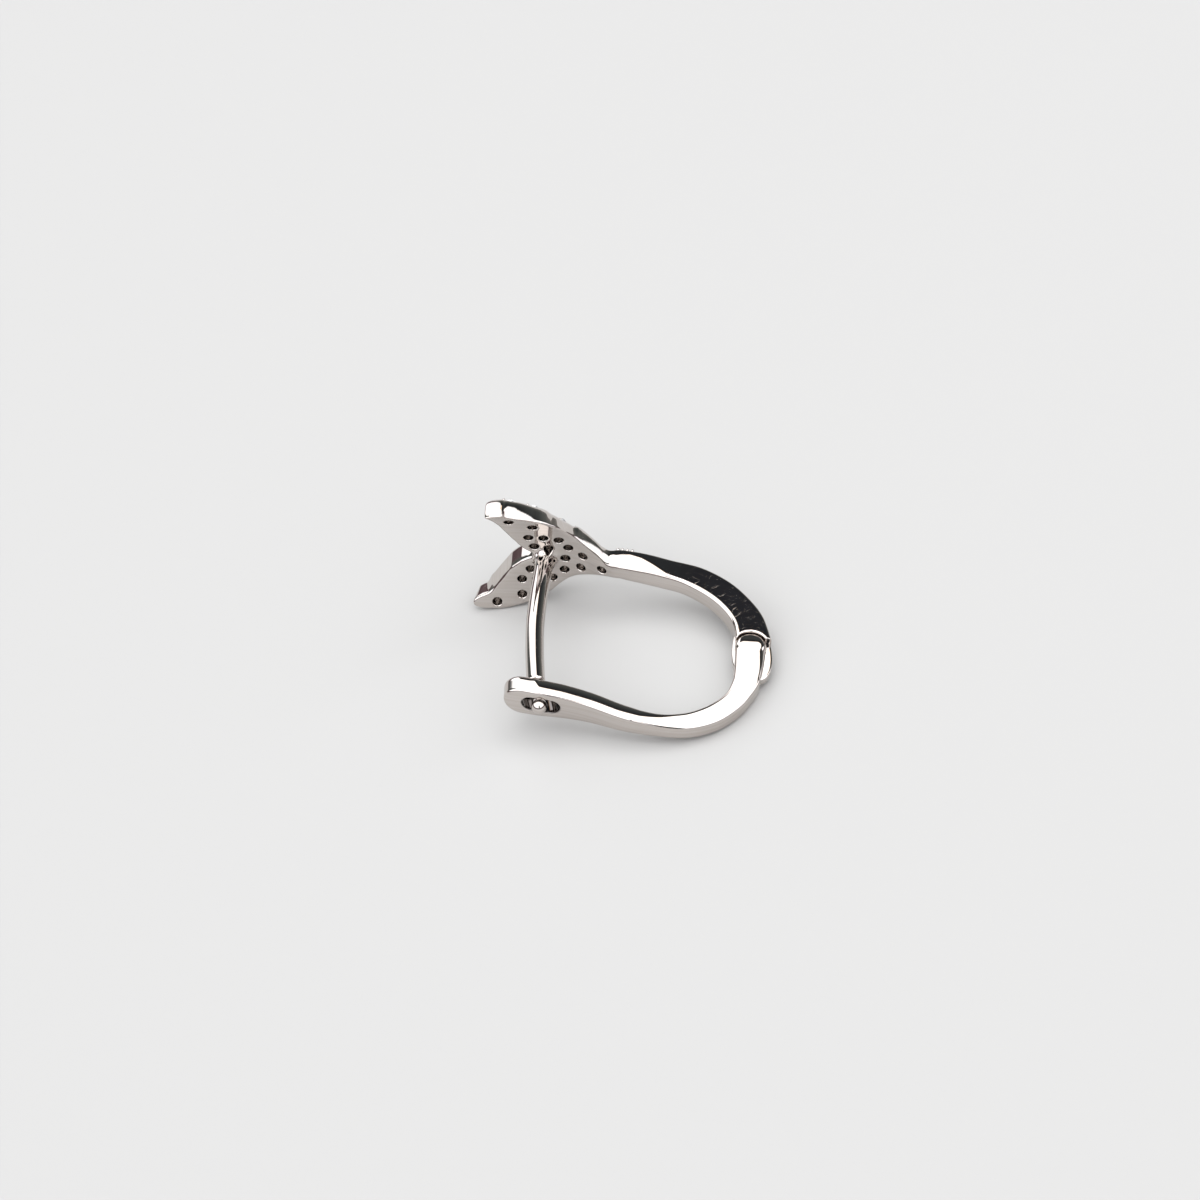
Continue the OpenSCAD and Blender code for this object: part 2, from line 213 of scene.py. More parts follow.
# The same across the hoop, and as a share of the way from the notch to the flank
LOBE_SPAN = (1.5, 2.2)
TIP_SPAN = (2.9, 3.4)
FLARE_ACROSS = (-2.4, -3.1)
FLANK_SPAN = (0.25, 0.75)
# Hand finishing of the shank: fillet at the plate, and crown of its faces, full at CROWN_HALF
SHOULDER_FILLET = 0.30
FACE_CROWN = 0.012
CROWN_HALF = 0.53
# Narrowing for each millimetre away from the hinge, and the height where there is none
SHANK_TILT = 0.022
SHANK_MIDDLE = 7.0
# Slopes of its sides, in millimetres for each half of a side's breadth, and the rise of its upper side
NECK_SLOPE = 0.022
WORN_SLOPE = 0.062
WORN_BEND = 0.12
NECK_RISE = 0.22
# Where the worn slope on the shank's sides starts: place along the hoop, place across the side from
# -1 inside to 1 outside
WORN_SIDE = [
    (2.6, 0.0), (3.6, 0.15), (4.3, 0.5), (4.9, 0.35), (5.5, 0.0), (6.2, -0.5), (6.8, -0.85), (7.4, -0.95),
    (8.2, -1.1), (12, -1.1),
]
# Where the shank's finishes start and where they are full, along the hoop
NECK_SPAN = (7.5, 5.0)
WORN_SPAN = (4.3, 3.5)
RISE_SPAN = (7.8, 5.0)
RISE_ROOT = (2.6, 3.6)
# Hand finishing of the lever, with its narrowing as above
LEVER_TILT = 0.02
LEVER_MIDDLE = 2.0
RUN_SLOPE = 0.10
RUN_BEND = 0.05
END_EDGE_R = 0.38
EAR_EDGE_R = 0.30
EAR_HALF = 0.53
EAR_SLOPE = 0.24
EAR_BEND = 0.05
# Flat part of the ears' sides: how far it reaches from the pivot each way, and its rounded border
EAR_FLAT = 0.30
EAR_FACE = 0.26
# Slot: how much its walls part for each millimetre of height, the height of its nominal width, its
# edges, and how near to its walls the metal is darkened, for unpolished metal and painted shade, from
# the first number to the second
SLOT_TAPER = 0.06
SLOT_MIDDLE = 0.45
SLOT_EDGE_R = 0.05
SLOT_SKIN = (0.06, 0.02)
# Fork between the ears: how far past them it reaches, and its edges
FORK_REACH = 1.5
FORK_EDGE_R = 0.03
# Where the slope on the sides of the lever's run starts, in the same columns
RUN_SIDE = [
    (-1.9, -0.5), (-0.15, -0.5), (0.15, 0.3), (4.0, 0.35), (5.2, 0.2), (6.2, -0.2), (7.0, -0.55),
    (8.5, -0.7), (9.2, -0.9), (12, -0.9),
]
# Where the ears' rounder edges start and where they are full, by height
EAR_INNER_SPAN = (1.2, 3.0)
EAR_OUTER_SPAN = (2.4, 4.0)
# Where the slope of the ears' sides starts to fade and where it is gone, by height
EAR_SLOPE_SPAN = (3.8, 2.6)
# Where the rounder edge of the lever's end starts and where it is full, along the hoop
END_SPAN = (0.5, -0.4)
# The lever's faces are crowned where their half width is under CROWN_LIMIT. Its end is the part before
# RUN_START along the hoop.
CROWN_LIMIT = 0.6
RUN_START = 2
# Edges of the drilled seats, of the tongue and of the post, the fillet behind the post's tip, and edges
# left sharp
SEAT_EDGE_R = 0.035
TONGUE_EDGE_R = 0.07
SHOULDER_EDGE_R = 0.03
ROOT_EDGE_R = 0.05
TIP_FILLET = 0.08
SHARP_R = 0.02
# Solder round the post's root: its lower end, its depth in the post there, the heights over which it
# swells, how far and how unevenly, and the fillet round it
SOLDER_START = 8.35
SOLDER_SINK = 0.05
SOLDER_SPAN = (8.3, 9.55)
SOLDER_SWELL = 0.13
SOLDER_LUMPS = 0.03
SOLDER_FILLET = 0.35


def to_row(points):
    """Points of the hoop's frame in millimetres, laid down in the row frame in metres."""
    return (turned(points - PIVOT)) / 1000 + PIVOT_ROW


def turned(vectors):
    """Directions of the hoop's frame in the row frame."""
    v = np.asarray(vectors, float)
    y = v[..., 1] * math.cos(REST_TILT) - v[..., 2] * math.sin(REST_TILT)
    z = v[..., 1] * math.sin(REST_TILT) + v[..., 2] * math.cos(REST_TILT)
    x = v[..., 0] * math.cos(REST_LEAN) + z * math.sin(REST_LEAN)
    return np.stack([x, y, z * math.cos(REST_LEAN) - v[..., 0] * math.sin(REST_LEAN)], -1)


HOOP_TURN = Matrix(turned(np.eye(3)).T.tolist())


def smooth_rows(rows, n):
    """Rows joined by smooth curves, with n steps between each two."""
    r = np.array(rows, float)
    padded = np.vstack([r[0], r, r[-1]])
    a, b, c, d = padded[:-3], padded[1:-2], padded[2:-1], padded[3:]
    out = []
    for i in range(len(a)):
        for k in range(n):
            t = k / n
            square = 2 * a[i] - 5 * b[i] + 4 * c[i] - d[i]
            cube = 3 * b[i] - a[i] - 3 * c[i] + d[i]
            out.append(0.5 * (2 * b[i] + (c[i] - a[i]) * t + square * t * t + cube * t ** 3))
    return np.array(out + [r[-1]])


def smooth_lookup(x, rows, column):
    """A table's column read at x, along a smooth curve through its rows."""
    fine = smooth_rows(rows, 12)
    return np.interp(x, fine[:, 0], fine[:, column])


def line_distance(x, y, line, values=None):
    """Distance from points to a line of points, and the line's values at the nearest place."""
    best = np.full(np.shape(x), 1e9)
    found = np.zeros(np.shape(x))
    for i in range(len(line) - 1):
        a, e = line[i], line[i + 1] - line[i]
        t = np.clip(((x - a[0]) * e[0] + (y - a[1]) * e[1]) / (e @ e), 0, 1)
        d = np.hypot(x - a[0] - t * e[0], y - a[1] - t * e[1])
        if values is not None:
            found = np.where(d < best, values[i] + t * (values[i + 1] - values[i]), found)
        best = np.minimum(best, d)
    return best if values is None else (best, found)


def outline_distance(x, y, outline):
    """Signed distance to a closed outline, negative inside."""
    closed = np.vstack([outline, outline[:1]])
    inside = np.zeros(np.shape(x), bool)
    for a, b in zip(closed[:-1], closed[1:]):
        if a[1] == b[1]:
            continue
        crosses = (a[1] > y) != (b[1] > y)
        inside ^= crosses & (x < a[0] + (y - a[1]) * (b[0] - a[0]) / (b[1] - a[1]))
    return np.where(inside, -1, 1) * line_distance(x, y, closed)


def hoop_plane(x, y):
    """A grid's coordinates on the hoop's plane."""
    return np.broadcast_arrays(x[:, :, 0], y[:, :, 0])


def axes_across(n):
    """Two directions square to a direction and to each other."""
    side = np.cross(n, [0.3, 0.1, 1.0])
    side /= np.linalg.norm(side)
    return side, np.cross(n, side)


def both(a, b, r):
    """What two shapes share, with a round edge of radius r where they meet."""
    return np.minimum(np.maximum(a, b), -r) + np.hypot(np.maximum(a + r, 0), np.maximum(b + r, 0))


def either(a, b, k):
    """Two shapes joined with a smooth fillet about k wide."""
    h = np.maximum(k - np.abs(a - b), 0) / k
    return np.minimum(a, b) - h * h * k / 4


def between(a, b, t):
    """Smooth step from 0 at a to 1 at b."""
    s = np.clip((t - a) / (b - a), 0, 1)
    return s * s * (3 - 2 * s)


class Solid:
    """A solid held as distances to its surface on a grid, from which its mesh is drawn."""

    def __init__(self, low, high, step):
        self.low = np.array(low, float)
        self.step = step
        self.axes = [np.arange(a, b + step, step) for a, b in zip(low, high)]
        self.field = np.full([len(a) for a in self.axes], 1.0, np.float32)

    def window(self, low, high):
        """Slices of the grid inside a box, and its coordinates there."""
        cuts = tuple(slice(*np.searchsorted(a, (l, h))) for a, l, h in zip(self.axes, low, high))
        x, y, z = (a[c] for a, c in zip(self.axes, cuts))
        return cuts, x[:, None, None], y[None, :, None], z[None, None, :]

    def whole(self):
        """Slices of the whole grid, and its coordinates."""
        return self.window(self.low, [a[-1] + self.step for a in self.axes])

    def sample(self, grid, points):
        """A grid's values between its nodes."""
        p = (points - self.low) / self.step
        i = np.clip(p.astype(int), 0, np.array(grid.shape[:3]) - 2)
        f = p - i
        total = 0
        for dx in (0, 1):
            for dy in (0, 1):
                for dz in (0, 1):
                    weight = np.abs(1 - dx - f[:, 0]) * np.abs(1 - dy - f[:, 1]) * np.abs(1 - dz - f[:, 2])
                    value = grid[i[:, 0] + dx, i[:, 1] + dy, i[:, 2] + dz]
                    total = total + (weight * value.T).T
        return total

    def mesh(self):
        """Corners, four-sided faces and outward directions of the surface."""
        inside = self.field < 0
        shape = np.array(self.field.shape) - 1
        count = np.zeros(shape, np.int8)
        place = np.zeros(list(shape) + [3], np.float32)
        edges = []
        for axis in range(3):
            near = [slice(None)] * 3
            far = [slice(None)] * 3
            near[axis], far[axis] = slice(0, -1), slice(1, None)
            a, b = self.field[tuple(near)], self.field[tuple(far)]
            crossed = np.argwhere(inside[tuple(near)] != inside[tuple(far)])
            fa, fb = a[tuple(crossed.T)], b[tuple(crossed.T)]
            at = crossed.astype(np.float32)
            at[:, axis] += fa / (fa - fb)
            u, v = (axis + 1) % 3, (axis + 2) % 3
            edges.append((crossed, fa < 0, u, v))
            for du in (0, 1):
                for dv in (0, 1):
                    cell = crossed.copy()
                    cell[:, u] -= du
                    cell[:, v] -= dv
                    ok = ((cell >= 0) & (cell < shape)).all(1)
                    np.add.at(count, tuple(cell[ok].T), 1)
                    np.add.at(place, tuple(cell[ok].T), at[ok])
        cells = np.argwhere(count > 0)
        number = np.full(shape, -1, np.int64)
        number[tuple(cells.T)] = np.arange(len(cells))
        corners = place[tuple(cells.T)] / count[tuple(cells.T)][:, None] * self.step + self.low
        faces = []
        for crossed, leaves, u, v in edges:
            ring = []
            for du, dv in ((1, 1), (0, 1), (0, 0), (1, 0)):
                cell = crossed.copy()
                cell[:, u] -= du
                cell[:, v] -= dv
                ring.append(number[tuple(cell.T)])
            ring = np.stack(ring, 1)
            faces.append(np.where(leaves[:, None], ring, ring[:, ::-1]))
        slopes = np.stack(np.gradient(self.field, self.step), -1).astype(np.float32)
        for _ in range(3):
            g = self.sample(slopes, corners)
            g2 = np.maximum((g * g).sum(1, keepdims=True), 0.05)
            move = self.sample(self.field, corners)[:, None] * g / g2
            corners = corners - np.clip(move, -self.step / 2, self.step / 2)
        g = self.sample(slopes, corners)
        normals = g / np.maximum(np.linalg.norm(g, axis=1, keepdims=True), 1e-6)
        return corners, np.vstack(faces), normals


def make_piece(name, corners, faces, normals, body, nodes, slot, material):
    """A mesh piece that rides on a body and stands for CAD nodes."""
    mesh = bpy.data.meshes.new(name)
    placed = to_row(corners)
    mesh.from_pydata(placed.tolist(), [], faces.tolist() if hasattr(faces, "tolist") else faces)
    mesh.update()
    if normals is not None:
        mesh.shade_smooth()
        mesh.normals_split_custom_set_from_vertices(turned(normals).tolist())
    piece = bpy.data.objects.new(name, mesh)
    bpy.context.scene.collection.objects.link(piece)
    mesh.materials.append(material)
    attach(piece, body)
    if nodes:
        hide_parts(*nodes)
    return piece


# Bands of the hoop

def band(rows, steps=8):
    """Smooth rows, inner line, outer line and closed outline of a band of the hoop."""
    fine = smooth_rows(rows, steps)
    return fine, fine[:, :2], fine[:, 2:4], np.vstack([fine[:, :2], fine[::-1, 2:4]])


def band_fields(x, y, rows):
    """On the hoop's plane: signed distances to the whole band, to its inner and to its outer face,
    place across it from -1 inside to 1 outside, and half width."""
    fine, inner, outer, outline = band(rows)
    d_in = line_distance(x, y, inner)
    d_out = line_distance(x, y, outer)
    _, half = line_distance(x, y, (inner + outer) / 2, fine[:, 4])
    whole = outline_distance(x, y, outline)
    across = (d_in - d_out) / (d_in + d_out + 1e-9)
    s_in = np.where((whole > 0) & (across < 0), d_in, -d_in)
    s_out = np.where((whole > 0) & (across > 0), d_out, -d_out)
    return whole, s_in, s_out, across, half


def bevel(value, soft):
    """A value above 0, and 0 below it, with a soft bend between."""
    return (value + np.sqrt(value * value + soft * soft)) / 2


# Front half: plate, shank, solder, seats, beads, ear post and tongue

def curl(m):
    """How far the plate bends back at a distance from its middle."""
    return LOBE_CURL * (np.abs(m) / LOBE_REACH) ** CURL_POWER


def back_at(u, m):
    """Height of the plate's back."""
    return smooth_lookup(u, PLATE_BACK, 1) - curl(m)


def thick_at(u):
    """Thickness of the plate."""
    return PLATE_T * smooth_lookup(u, PLATE_BACK, 2)


def plate_outline():
    """The plate's outline as seen from its back, before it is set askew."""
    low = smooth_rows(PLATE_MIDDLE + LOWER_LOBE, 6)
    high = smooth_rows(PLATE_MIDDLE + UPPER_LOBE, 6)
    down = [(r[1], -r[0]) for r in low[::-1]] + [(r[1], r[0]) for r in high[1:]]
    up = [(r[2], r[0]) for r in high[::-1]] + [(r[2], -r[0]) for r in low[1:]]
    return np.array(down + up)


def seat_frame(u, l):
    """Point on the stone-set face and outward direction of the seat at a place."""
    if u > PLATE_END:
        _, _, outer, _ = band(SHANK)
        y = np.interp(u, outer[:, 0], outer[:, 1])
        slope = np.interp(u + 0.1, outer[:, 0], outer[:, 1]) - np.interp(u - 0.1, outer[:, 0], outer[:, 1])
        n = np.array([-slope, 0.2, 0.0])
        return np.array([u, y, l]), n / np.linalg.norm(n)
    m, h = l - PLATE_SHIFT, 0.05
    rise_along = back_at(u + h, m) - back_at(u - h, m)
    rise_across = back_at(u, m + h) - back_at(u, m - h)
    fall = np.array([rise_along, rise_across]) / (2 * h)
    n = np.array([-SEAT_LEAN * fall[0], 1.0, -SEAT_LEAN * fall[1]])
    start = np.array([u + PLATE_SKEW * m, float(back_at(u, m)), l])
    return start + n * float(thick_at(u)) / (1 + SEAT_LEAN * fall @ fall), n / np.linalg.norm(n)


def seats():
    """Every stone: its CAD node, point, outward direction, and whether its seat is drilled through."""
    found = []
    for i, (u, through) in enumerate(STONE_MIDDLES):
        found.append((f"stone_middle_{i + 1}", *seat_frame(u, 0.0), through))
    for i, (u, l) in enumerate(STONE_PAIRS):
        for side, across in (("upper", l), ("lower", -l)):
            point, n = seat_frame(u, across)
            sunk = LOBE_SINK if l > LOBE_SPAN[1] else 0
            found.append((f"stone_{side}_{i + 1}", point - n * sunk, n, True))
    return found


def add_plate(s):
    """The forked plate, with its bevelled flank and its rounded stone-set face."""
    cuts, x, y, z = s.window(*PLATE_BOX)
    m = z - PLATE_SHIFT * between(*SHIFT_SPAN, x)
    u = x - PLATE_SKEW * m
    plane = u[:, 0, :], np.broadcast_to(m[:, 0, :], u[:, 0, :].shape)
    plan = outline_distance(*plane, plate_outline())[:, None, :]
    back = back_at(u, m)
    slope = np.sqrt(1 + np.gradient(back[:, 0, :], s.step, axis=1)[:, None, :] ** 2)
    behind = (back - y) / slope
    before = (y - back - thick_at(u)) / slope
    across_lobe = [np.where(m > 0, smooth_lookup(np.abs(m), PLATE_MIDDLE + UPPER_LOBE, c),
                            smooth_lookup(np.abs(m), PLATE_MIDDLE + LOWER_LOBE, c)) for c in (1, 2)]
    places, widths, slopes = zip(*FLANK)
    outward = between(*FLANK_SPAN, (u - across_lobe[0]) / (across_lobe[1] - across_lobe[0]))
    upper = outward * (m > 0)
    bevelled = plan + NOTCH_BEVEL + (np.interp(u, places, widths) - NOTCH_BEVEL) * upper
    bevelled = bevelled * math.cos(BEVEL_LEAN) + behind * math.sin(BEVEL_LEAN)
    lean = np.interp(u, places, slopes) * upper + LOWER_TIP_SLOPE * between(*LOWER_TIP_SPAN, u) * (m < 0)
    lean = lean - LOWER_FLARE * between(*FLARE_ACROSS, m) * between(*FLARE_ALONG, u)
    plan = plan + lean * np.maximum(y - back, 0)
    flank = both(plan, bevelled, BEVEL_BEND_R)
    dome = NOTCH_DOME_R + (PLATE_DOME_R - NOTCH_DOME_R) * outward
    dome = dome - (dome - np.where(m > 0, TIP_DOME_R, NOTCH_DOME_R)) * between(*TIP_SPAN, np.abs(m))
    edge = PLATE_EDGE_R + (LOBE_EDGE_R - PLATE_EDGE_R) * between(*LOBE_SPAN, np.abs(m))
    s.field[cuts] = both(both(flank, behind, edge), before, dome)


def add_shank(s):
    """The neck and the shank, with the recess for the ears cut in its cheeks."""
    cuts, x, y, z = s.window(*SHANK_BOX)
    bands = band_fields(*hoop_plane(x, y), SHANK)
    whole, s_in, s_out, across, half = (f[:, :, None] for f in bands)
    worn_from = np.interp(x, *zip(*WORN_SIDE))
    width = half - SHANK_TILT * (y - SHANK_MIDDLE) - NECK_SLOPE * across * between(*NECK_SPAN, x)
    width = width - WORN_SLOPE * (1 + between(*WORN_SPAN, x)) * bevel(worn_from - across, WORN_BEND)
    width = width + NECK_RISE * between(*RISE_SPAN, x) * between(*RISE_ROOT, x) * (z > 0)
    crowned = FACE_CROWN * (z / CROWN_HALF) ** 2
    shank = both(s_in + crowned, np.abs(z) - width, INNER_EDGE_R)
    shank = np.maximum(both(s_out + crowned, shank, OUTER_EDGE_R), whole)
    from_pivot = np.hypot(x - PIVOT[0], y - PIVOT[1])
    recess = both(from_pivot - RECESS_R, FORK_HALF - np.abs(z), SHARP_R)
    shank = both(shank, -recess, SHARP_R)
    s.field[cuts] = either(s.field[cuts], shank, SHOULDER_FILLET)


def add_solder(s):
    """Solder that swells round the root of the ear post."""
    cuts, x, y, z = s.window(*SOLDER_BOX)
    _, reach = post_fields(x, y, z)
    root = between(*SOLDER_SPAN, y)
    lumps = np.sin(9 * x + 5 * z) * np.cos(7 * z - 6 * x + 4 * y)
    lumps = lumps + 0.6 * np.sin(17 * z + 3 * x) * np.sin(13 * x - 8 * y)
    swollen = reach - POST_R + SOLDER_SINK - root * (SOLDER_SWELL + SOLDER_LUMPS * lumps)
    s.field[cuts] = either(s.field[cuts], np.maximum(swollen, SOLDER_START - y), SOLDER_FILLET)


def cut_seats(s):
    """The stones' seats and the holes drilled behind them."""
    wide = STONE_R + SEAT_GAP
    deep = SEAT_SINK + GIRDLE_H + SEAT_GAP
    cone = (wide - DRILL_R) * SEAT_CONE
    margin = 0.7
    for _, point, n, through in seats():
        bottom = -DRILL_DEPTH if through else -deep - PAVILION_H
        end = point + n * bottom
        cuts, x, y, z = s.window(np.minimum(point, end) - margin, np.maximum(point, end) + margin)
        along = (x - point[0]) * n[0] + (y - point[1]) * n[1] + (z - point[2]) * n[2]
        far = np.sqrt(np.maximum(
            (x - point[0]) ** 2 + (y - point[1]) ** 2 + (z - point[2]) ** 2 - along ** 2, 0))
        profile = np.array([(-0.01, bottom), (DRILL_R, bottom), (DRILL_R, -deep - cone),
                            (wide, -deep), (wide, 0.5), (-0.01, 0.5)])
        hole = outline_distance(far, along, profile)
        s.field[cuts] = both(s.field[cuts], -hole, SEAT_EDGE_R)


def build_front():
    """The forked plate with its neck, the shank and the solder at the post's root as one solid."""
    s = Solid(*FRONT_BOX, STEP)
    add_plate(s)
    add_shank(s)
    add_solder(s)
    cut_seats(s)
    return s


def grain_places(solid):
    """Points and outward directions of the beads that hold the stones, on the solid's surface."""
    stones = [(point, n) for _, point, n, _ in seats()]
    found = []
    for point, n in stones:
        side = np.cross(n, [0.0, 0.0, 1.0])
        side /= np.linalg.norm(side)
        up = np.cross(side, n)
        for k in range(4):
            turn = math.radians(45 + 90 * k)
            start = point + (STONE_R + GRAIN_R * GRAIN_GAP) * (math.cos(turn) * side + math.sin(turn) * up)
            if min(np.linalg.norm(start - other) for other, _ in stones) < STONE_R + GRAIN_R * 0.6:
                continue
            if found and min(np.linalg.norm(start - other) for other, _ in found) < 2.2 * GRAIN_R:
                continue
            heights = np.arange(0.3, -0.5, -0.01)
            depth = solid.sample(solid.field, start + heights[:, None] * n)
            if depth.min() < 0 and heights[np.argmax(depth < 0)] > -0.15:
                found.append((start + heights[np.argmax(depth < 0)] * n, n))
    for u in EDGE_GRAINS:
        found.append(seat_frame(u, EDGE_GRAIN_HEIGHT))
    return found


def bead(point, n, r):
    """Corners, faces and outward directions of a round bead, half sunk at a point."""
    side, up = axes_across(n)
    rows, columns = 7, 12
    directions = [n]
    for i in range(1, rows):
        a = math.pi * i / rows
        for k in range(columns):
            b = 2 * math.pi * k / columns
            directions.append(math.cos(a) * n + math.sin(a) * (math.cos(b) * side + math.sin(b) * up))
    directions.append(-n)
    faces = [[0, 1 + k, 1 + (k + 1) % columns] for k in range(columns)]
    for i in range(rows - 2):
        for k in range(columns):
            a, b = 1 + i * columns + k, 1 + i * columns + (k + 1) % columns
            faces.append([a, a + columns, b + columns, b])
    last = len(directions) - 1
    faces += [[last, last - columns + (k + 1) % columns, last - columns + k] for k in range(columns)]
    directions = np.array(directions)
    return point + directions * r, faces, directions


def build_grains(solid):
    """All the beads as one mesh."""
    corners, faces, directions = [], [], []
    for point, n in grain_places(solid):
        first = sum(len(c) for c in corners)
        c, f, d = bead(point, n, GRAIN_R if point[0] < EDGE_GRAINS_FROM else EDGE_GRAIN_R)
        corners.append(c)
        directions.append(d)
        faces += [[first + i for i in face] for face in f]
    return np.vstack(corners), faces, np.vstack(directions)


def post_fields(x, y, z):
    """Signed distance to the ear post's shaft, and distance from its middle line."""
    line = smooth_rows(POST, 8)
    aside = line_distance(*hoop_plane(x, y), line)
    reach = np.hypot(aside[:, :, None], z)
    return reach - POST_R, reach


def build_post():
    """The ear post with its neck and round tip."""
    s = Solid(*POST_BOX, POST_STEP)
    cuts, x, y, z = s.whole()
    shaft, _ = post_fields(x, y, z)
    s.field[cuts] = both(both(shaft, POST_SHOULDER - y, SHOULDER_EDGE_R), y - POST_ROOT, ROOT_EDGE_R)
    e = np.array(TIP) - np.array(POST_NECK)
    t = ((x - POST_NECK[0]) * e[0] + (y - POST_NECK[1]) * e[1]) / (e @ e)
    shaft_r = GROOVE_R + (POST_R - GROOVE_R) * between(*POST_NECK_SWELL, t)
    cx, cy = POST_NECK[0] + t * e[0], POST_NECK[1] + t * e[1]
    ends = np.maximum(POST_NECK_INSIDE - t, t - 1) * POST_NECK_LEN
    groove = both(np.sqrt((x - cx) ** 2 + (y - cy) ** 2 + z ** 2) - shaft_r, ends, SHARP_R)
    ball = np.sqrt((x - TIP[0]) ** 2 + (y - TIP[1]) ** 2 + z ** 2) - TIP_R
    s.field[cuts] = np.minimum(s.field[cuts], either(groove, ball, TIP_FILLET))
    return s.mesh()


def build_tongue():
    """The tongue between the lever's ears."""
    s = Solid(*TONGUE_BOX, TONGUE_STEP)
    cuts, x, y, z = s.whole()
    outline = smooth_rows(TONGUE + TONGUE[:1], 5)[:-1]
    flat = outline_distance(*hoop_plane(x, y), outline)[:, :, None]
    s.field[cuts] = both(flat, np.abs(z) - TONGUE_HALF, TONGUE_EDGE_R)
    return s.mesh()


# Lever

def slot_distance(x, y, z):
    """Signed distance to the slot in the lever's end."""
    along = (x - SLOT_CENTRE[0]) * math.cos(SLOT_SLANT) + (y - SLOT_CENTRE[1]) * math.sin(SLOT_SLANT)
    beyond = np.maximum(np.abs(along) - (SLOT_LEN - SLOT_W) / 2, 0)
    return np.hypot(beyond, z) - SLOT_W / 2 - SLOT_TAPER * (y - SLOT_MIDDLE)


def slot_wall(corners):
    """Which corners of the lever's mesh are on the walls of its slot, from 0 to 1: where painted shade and
    unpolished metal darken the colour.
    """
    return between(*SLOT_SKIN, slot_distance(*corners.T)) * (corners[:, 0] < RUN_START)


def build_lever():
    """The lever with its ears, fork, widened end and slot."""
    s = Solid(*LEVER_BOX, LEVER_STEP)
    cuts, x, y, z = s.whole()
    last = np.array(LEVER[-1])
    fall = END_REACH * math.tan(LEVER_SLOPE)
    reach = last - np.array([END_REACH, -fall, END_REACH, -fall, 0])
    bands = band_fields(*hoop_plane(x, y), LEVER + [tuple(reach)])
    whole, s_in, s_out, across, half = (f[:, :, None] for f in bands)
    worn_from = np.interp(x, *zip(*RUN_SIDE))
    tilt = LEVER_TILT * (y - LEVER_MIDDLE)
    width = half + tilt - RUN_SLOPE * bevel(worn_from - across, RUN_BEND) ** 2
    side = np.hypot(np.maximum((last[0] + last[2]) / 2 - x, 0), z) - width
    inner_r = INNER_EDGE_R + (EAR_EDGE_R - INNER_EDGE_R) * between(*EAR_INNER_SPAN, y)
    inner_r = inner_r + (END_EDGE_R - INNER_EDGE_R) * between(*END_SPAN, x)
    outer_r = OUTER_EDGE_R + (EAR_EDGE_R - OUTER_EDGE_R) * between(*EAR_OUTER_SPAN, y)
    crowned = FACE_CROWN * (z / CROWN_HALF) ** 2 * (half < CROWN_LIMIT)
    lever = both(s_in + crowned, side, inner_r)
    lever = np.maximum(both(s_out + crowned, lever, outer_r), whole)
    from_pivot = np.hypot(x - PIVOT[0], y - PIVOT[1])
    ear_side = np.abs(z) - EAR_HALF - tilt
    ear = both(from_pivot - EAR_R, ear_side, EAR_EDGE_R)
    lever = np.minimum(lever, ear)
    off_face = np.hypot(np.maximum(y - PIVOT[1], 0), np.maximum(np.abs(x - PIVOT[0]) - EAR_FLAT, 0))
    ear_slope = ear_side + EAR_SLOPE * bevel(off_face - EAR_FACE, EAR_BEND)
    # Past the ears the slope is moved out of the lever's reach
    off_ears = 4 * between(*EAR_SLOPE_SPAN, y)
    lever = np.maximum(lever, ear_slope - off_ears)
    fork = both(from_pivot - EAR_R - FORK_REACH, np.abs(z) - FORK_HALF, SHARP_R)
    lever = both(lever, -fork, FORK_EDGE_R)
    s.field[cuts] = both(lever, -slot_distance(x, y, z), SLOT_EDGE_R)
    return s.mesh()


# Materials

METAL_COLOUR = (0.62, 0.58, 0.55)
POLISH_COLOUR = (0.57, 0.52, 0.485)
# Walls of the slot: unpolished metal, darkened further with painted shade for the dark inside of the slot
UNPOLISHED_AND_SHADE_COLOUR = (0.16, 0.145, 0.14)
# Marks per metre on three axes: polishing lines, scratches with their own turns, and waves. The axes of
# the lines and the waves are along, out of and across the hoop.
POLISH_LINES = (250, 250, 9000)
SCRATCHES = [((700, 14000, 14000), (0.4, 0.2, 0.7)), ((900, 16000, 16000), (0.1, 0.5, -0.5))]
WAVES = (1500, 1500, 5000)
WAVE_HEIGHT = 0.000001
# Parts of the noises' range over which the colour and the roughness change
POLISH_RANGE = (0.36, 0.64)
SCRATCH_RANGE = (0.64, 0.72)
# Clear stones
STONE_COLOUR = (0.97, 0.985, 1.0, 1)
STONE_CLOUDS = 4000
STONE_HAZE = 0.03
FLOOR_COLOUR = (0.470, 0.461, 0.451, 1)
# Surroundings by height: the dark wall, the room, and the wall's share by the turn in degrees from
# straight behind the part
WALL_STOPS = [
    (0.0, (0.34, 0.33, 0.32)), (0.08, (0.20, 0.20, 0.195)), (0.25, (0.13, 0.14, 0.135)),
    (0.50, (0.075, 0.083, 0.083)), (0.68, (0.042, 0.047, 0.051)), (0.808, (0.027, 0.030, 0.037)),
    (0.816, (1.8, 1.3, 0.85)), (0.823, (2.4, 2.45, 2.5)), (1.0, (2.4, 2.45, 2.5)),
]
ROOM_STOPS = [
    (0.0, (0.22, 0.17, 0.18)), (0.10, (0.13, 0.09, 0.10)), (0.25, (0.20, 0.15, 0.16)),
    (0.31, (1.8, 1.8, 1.9)), (0.5, (2.2, 2.25, 2.3)), (1.0, (2.4, 2.45, 2.5)),
]
WALL_TURNS = [
    (-180, 1), (-179, 0), (-78, 0), (-74, 1), (-53, 1), (-50, 0), (-13, 0), (-10, 1),
    (56, 1), (61, 0), (161, 0), (164, 1), (180, 1),
]


def new_material(name):
    """A material with its nodes and links."""
    material = bpy.data.materials.new(name)
    material.use_nodes = True
    return material, material.node_tree.nodes, material.node_tree.links


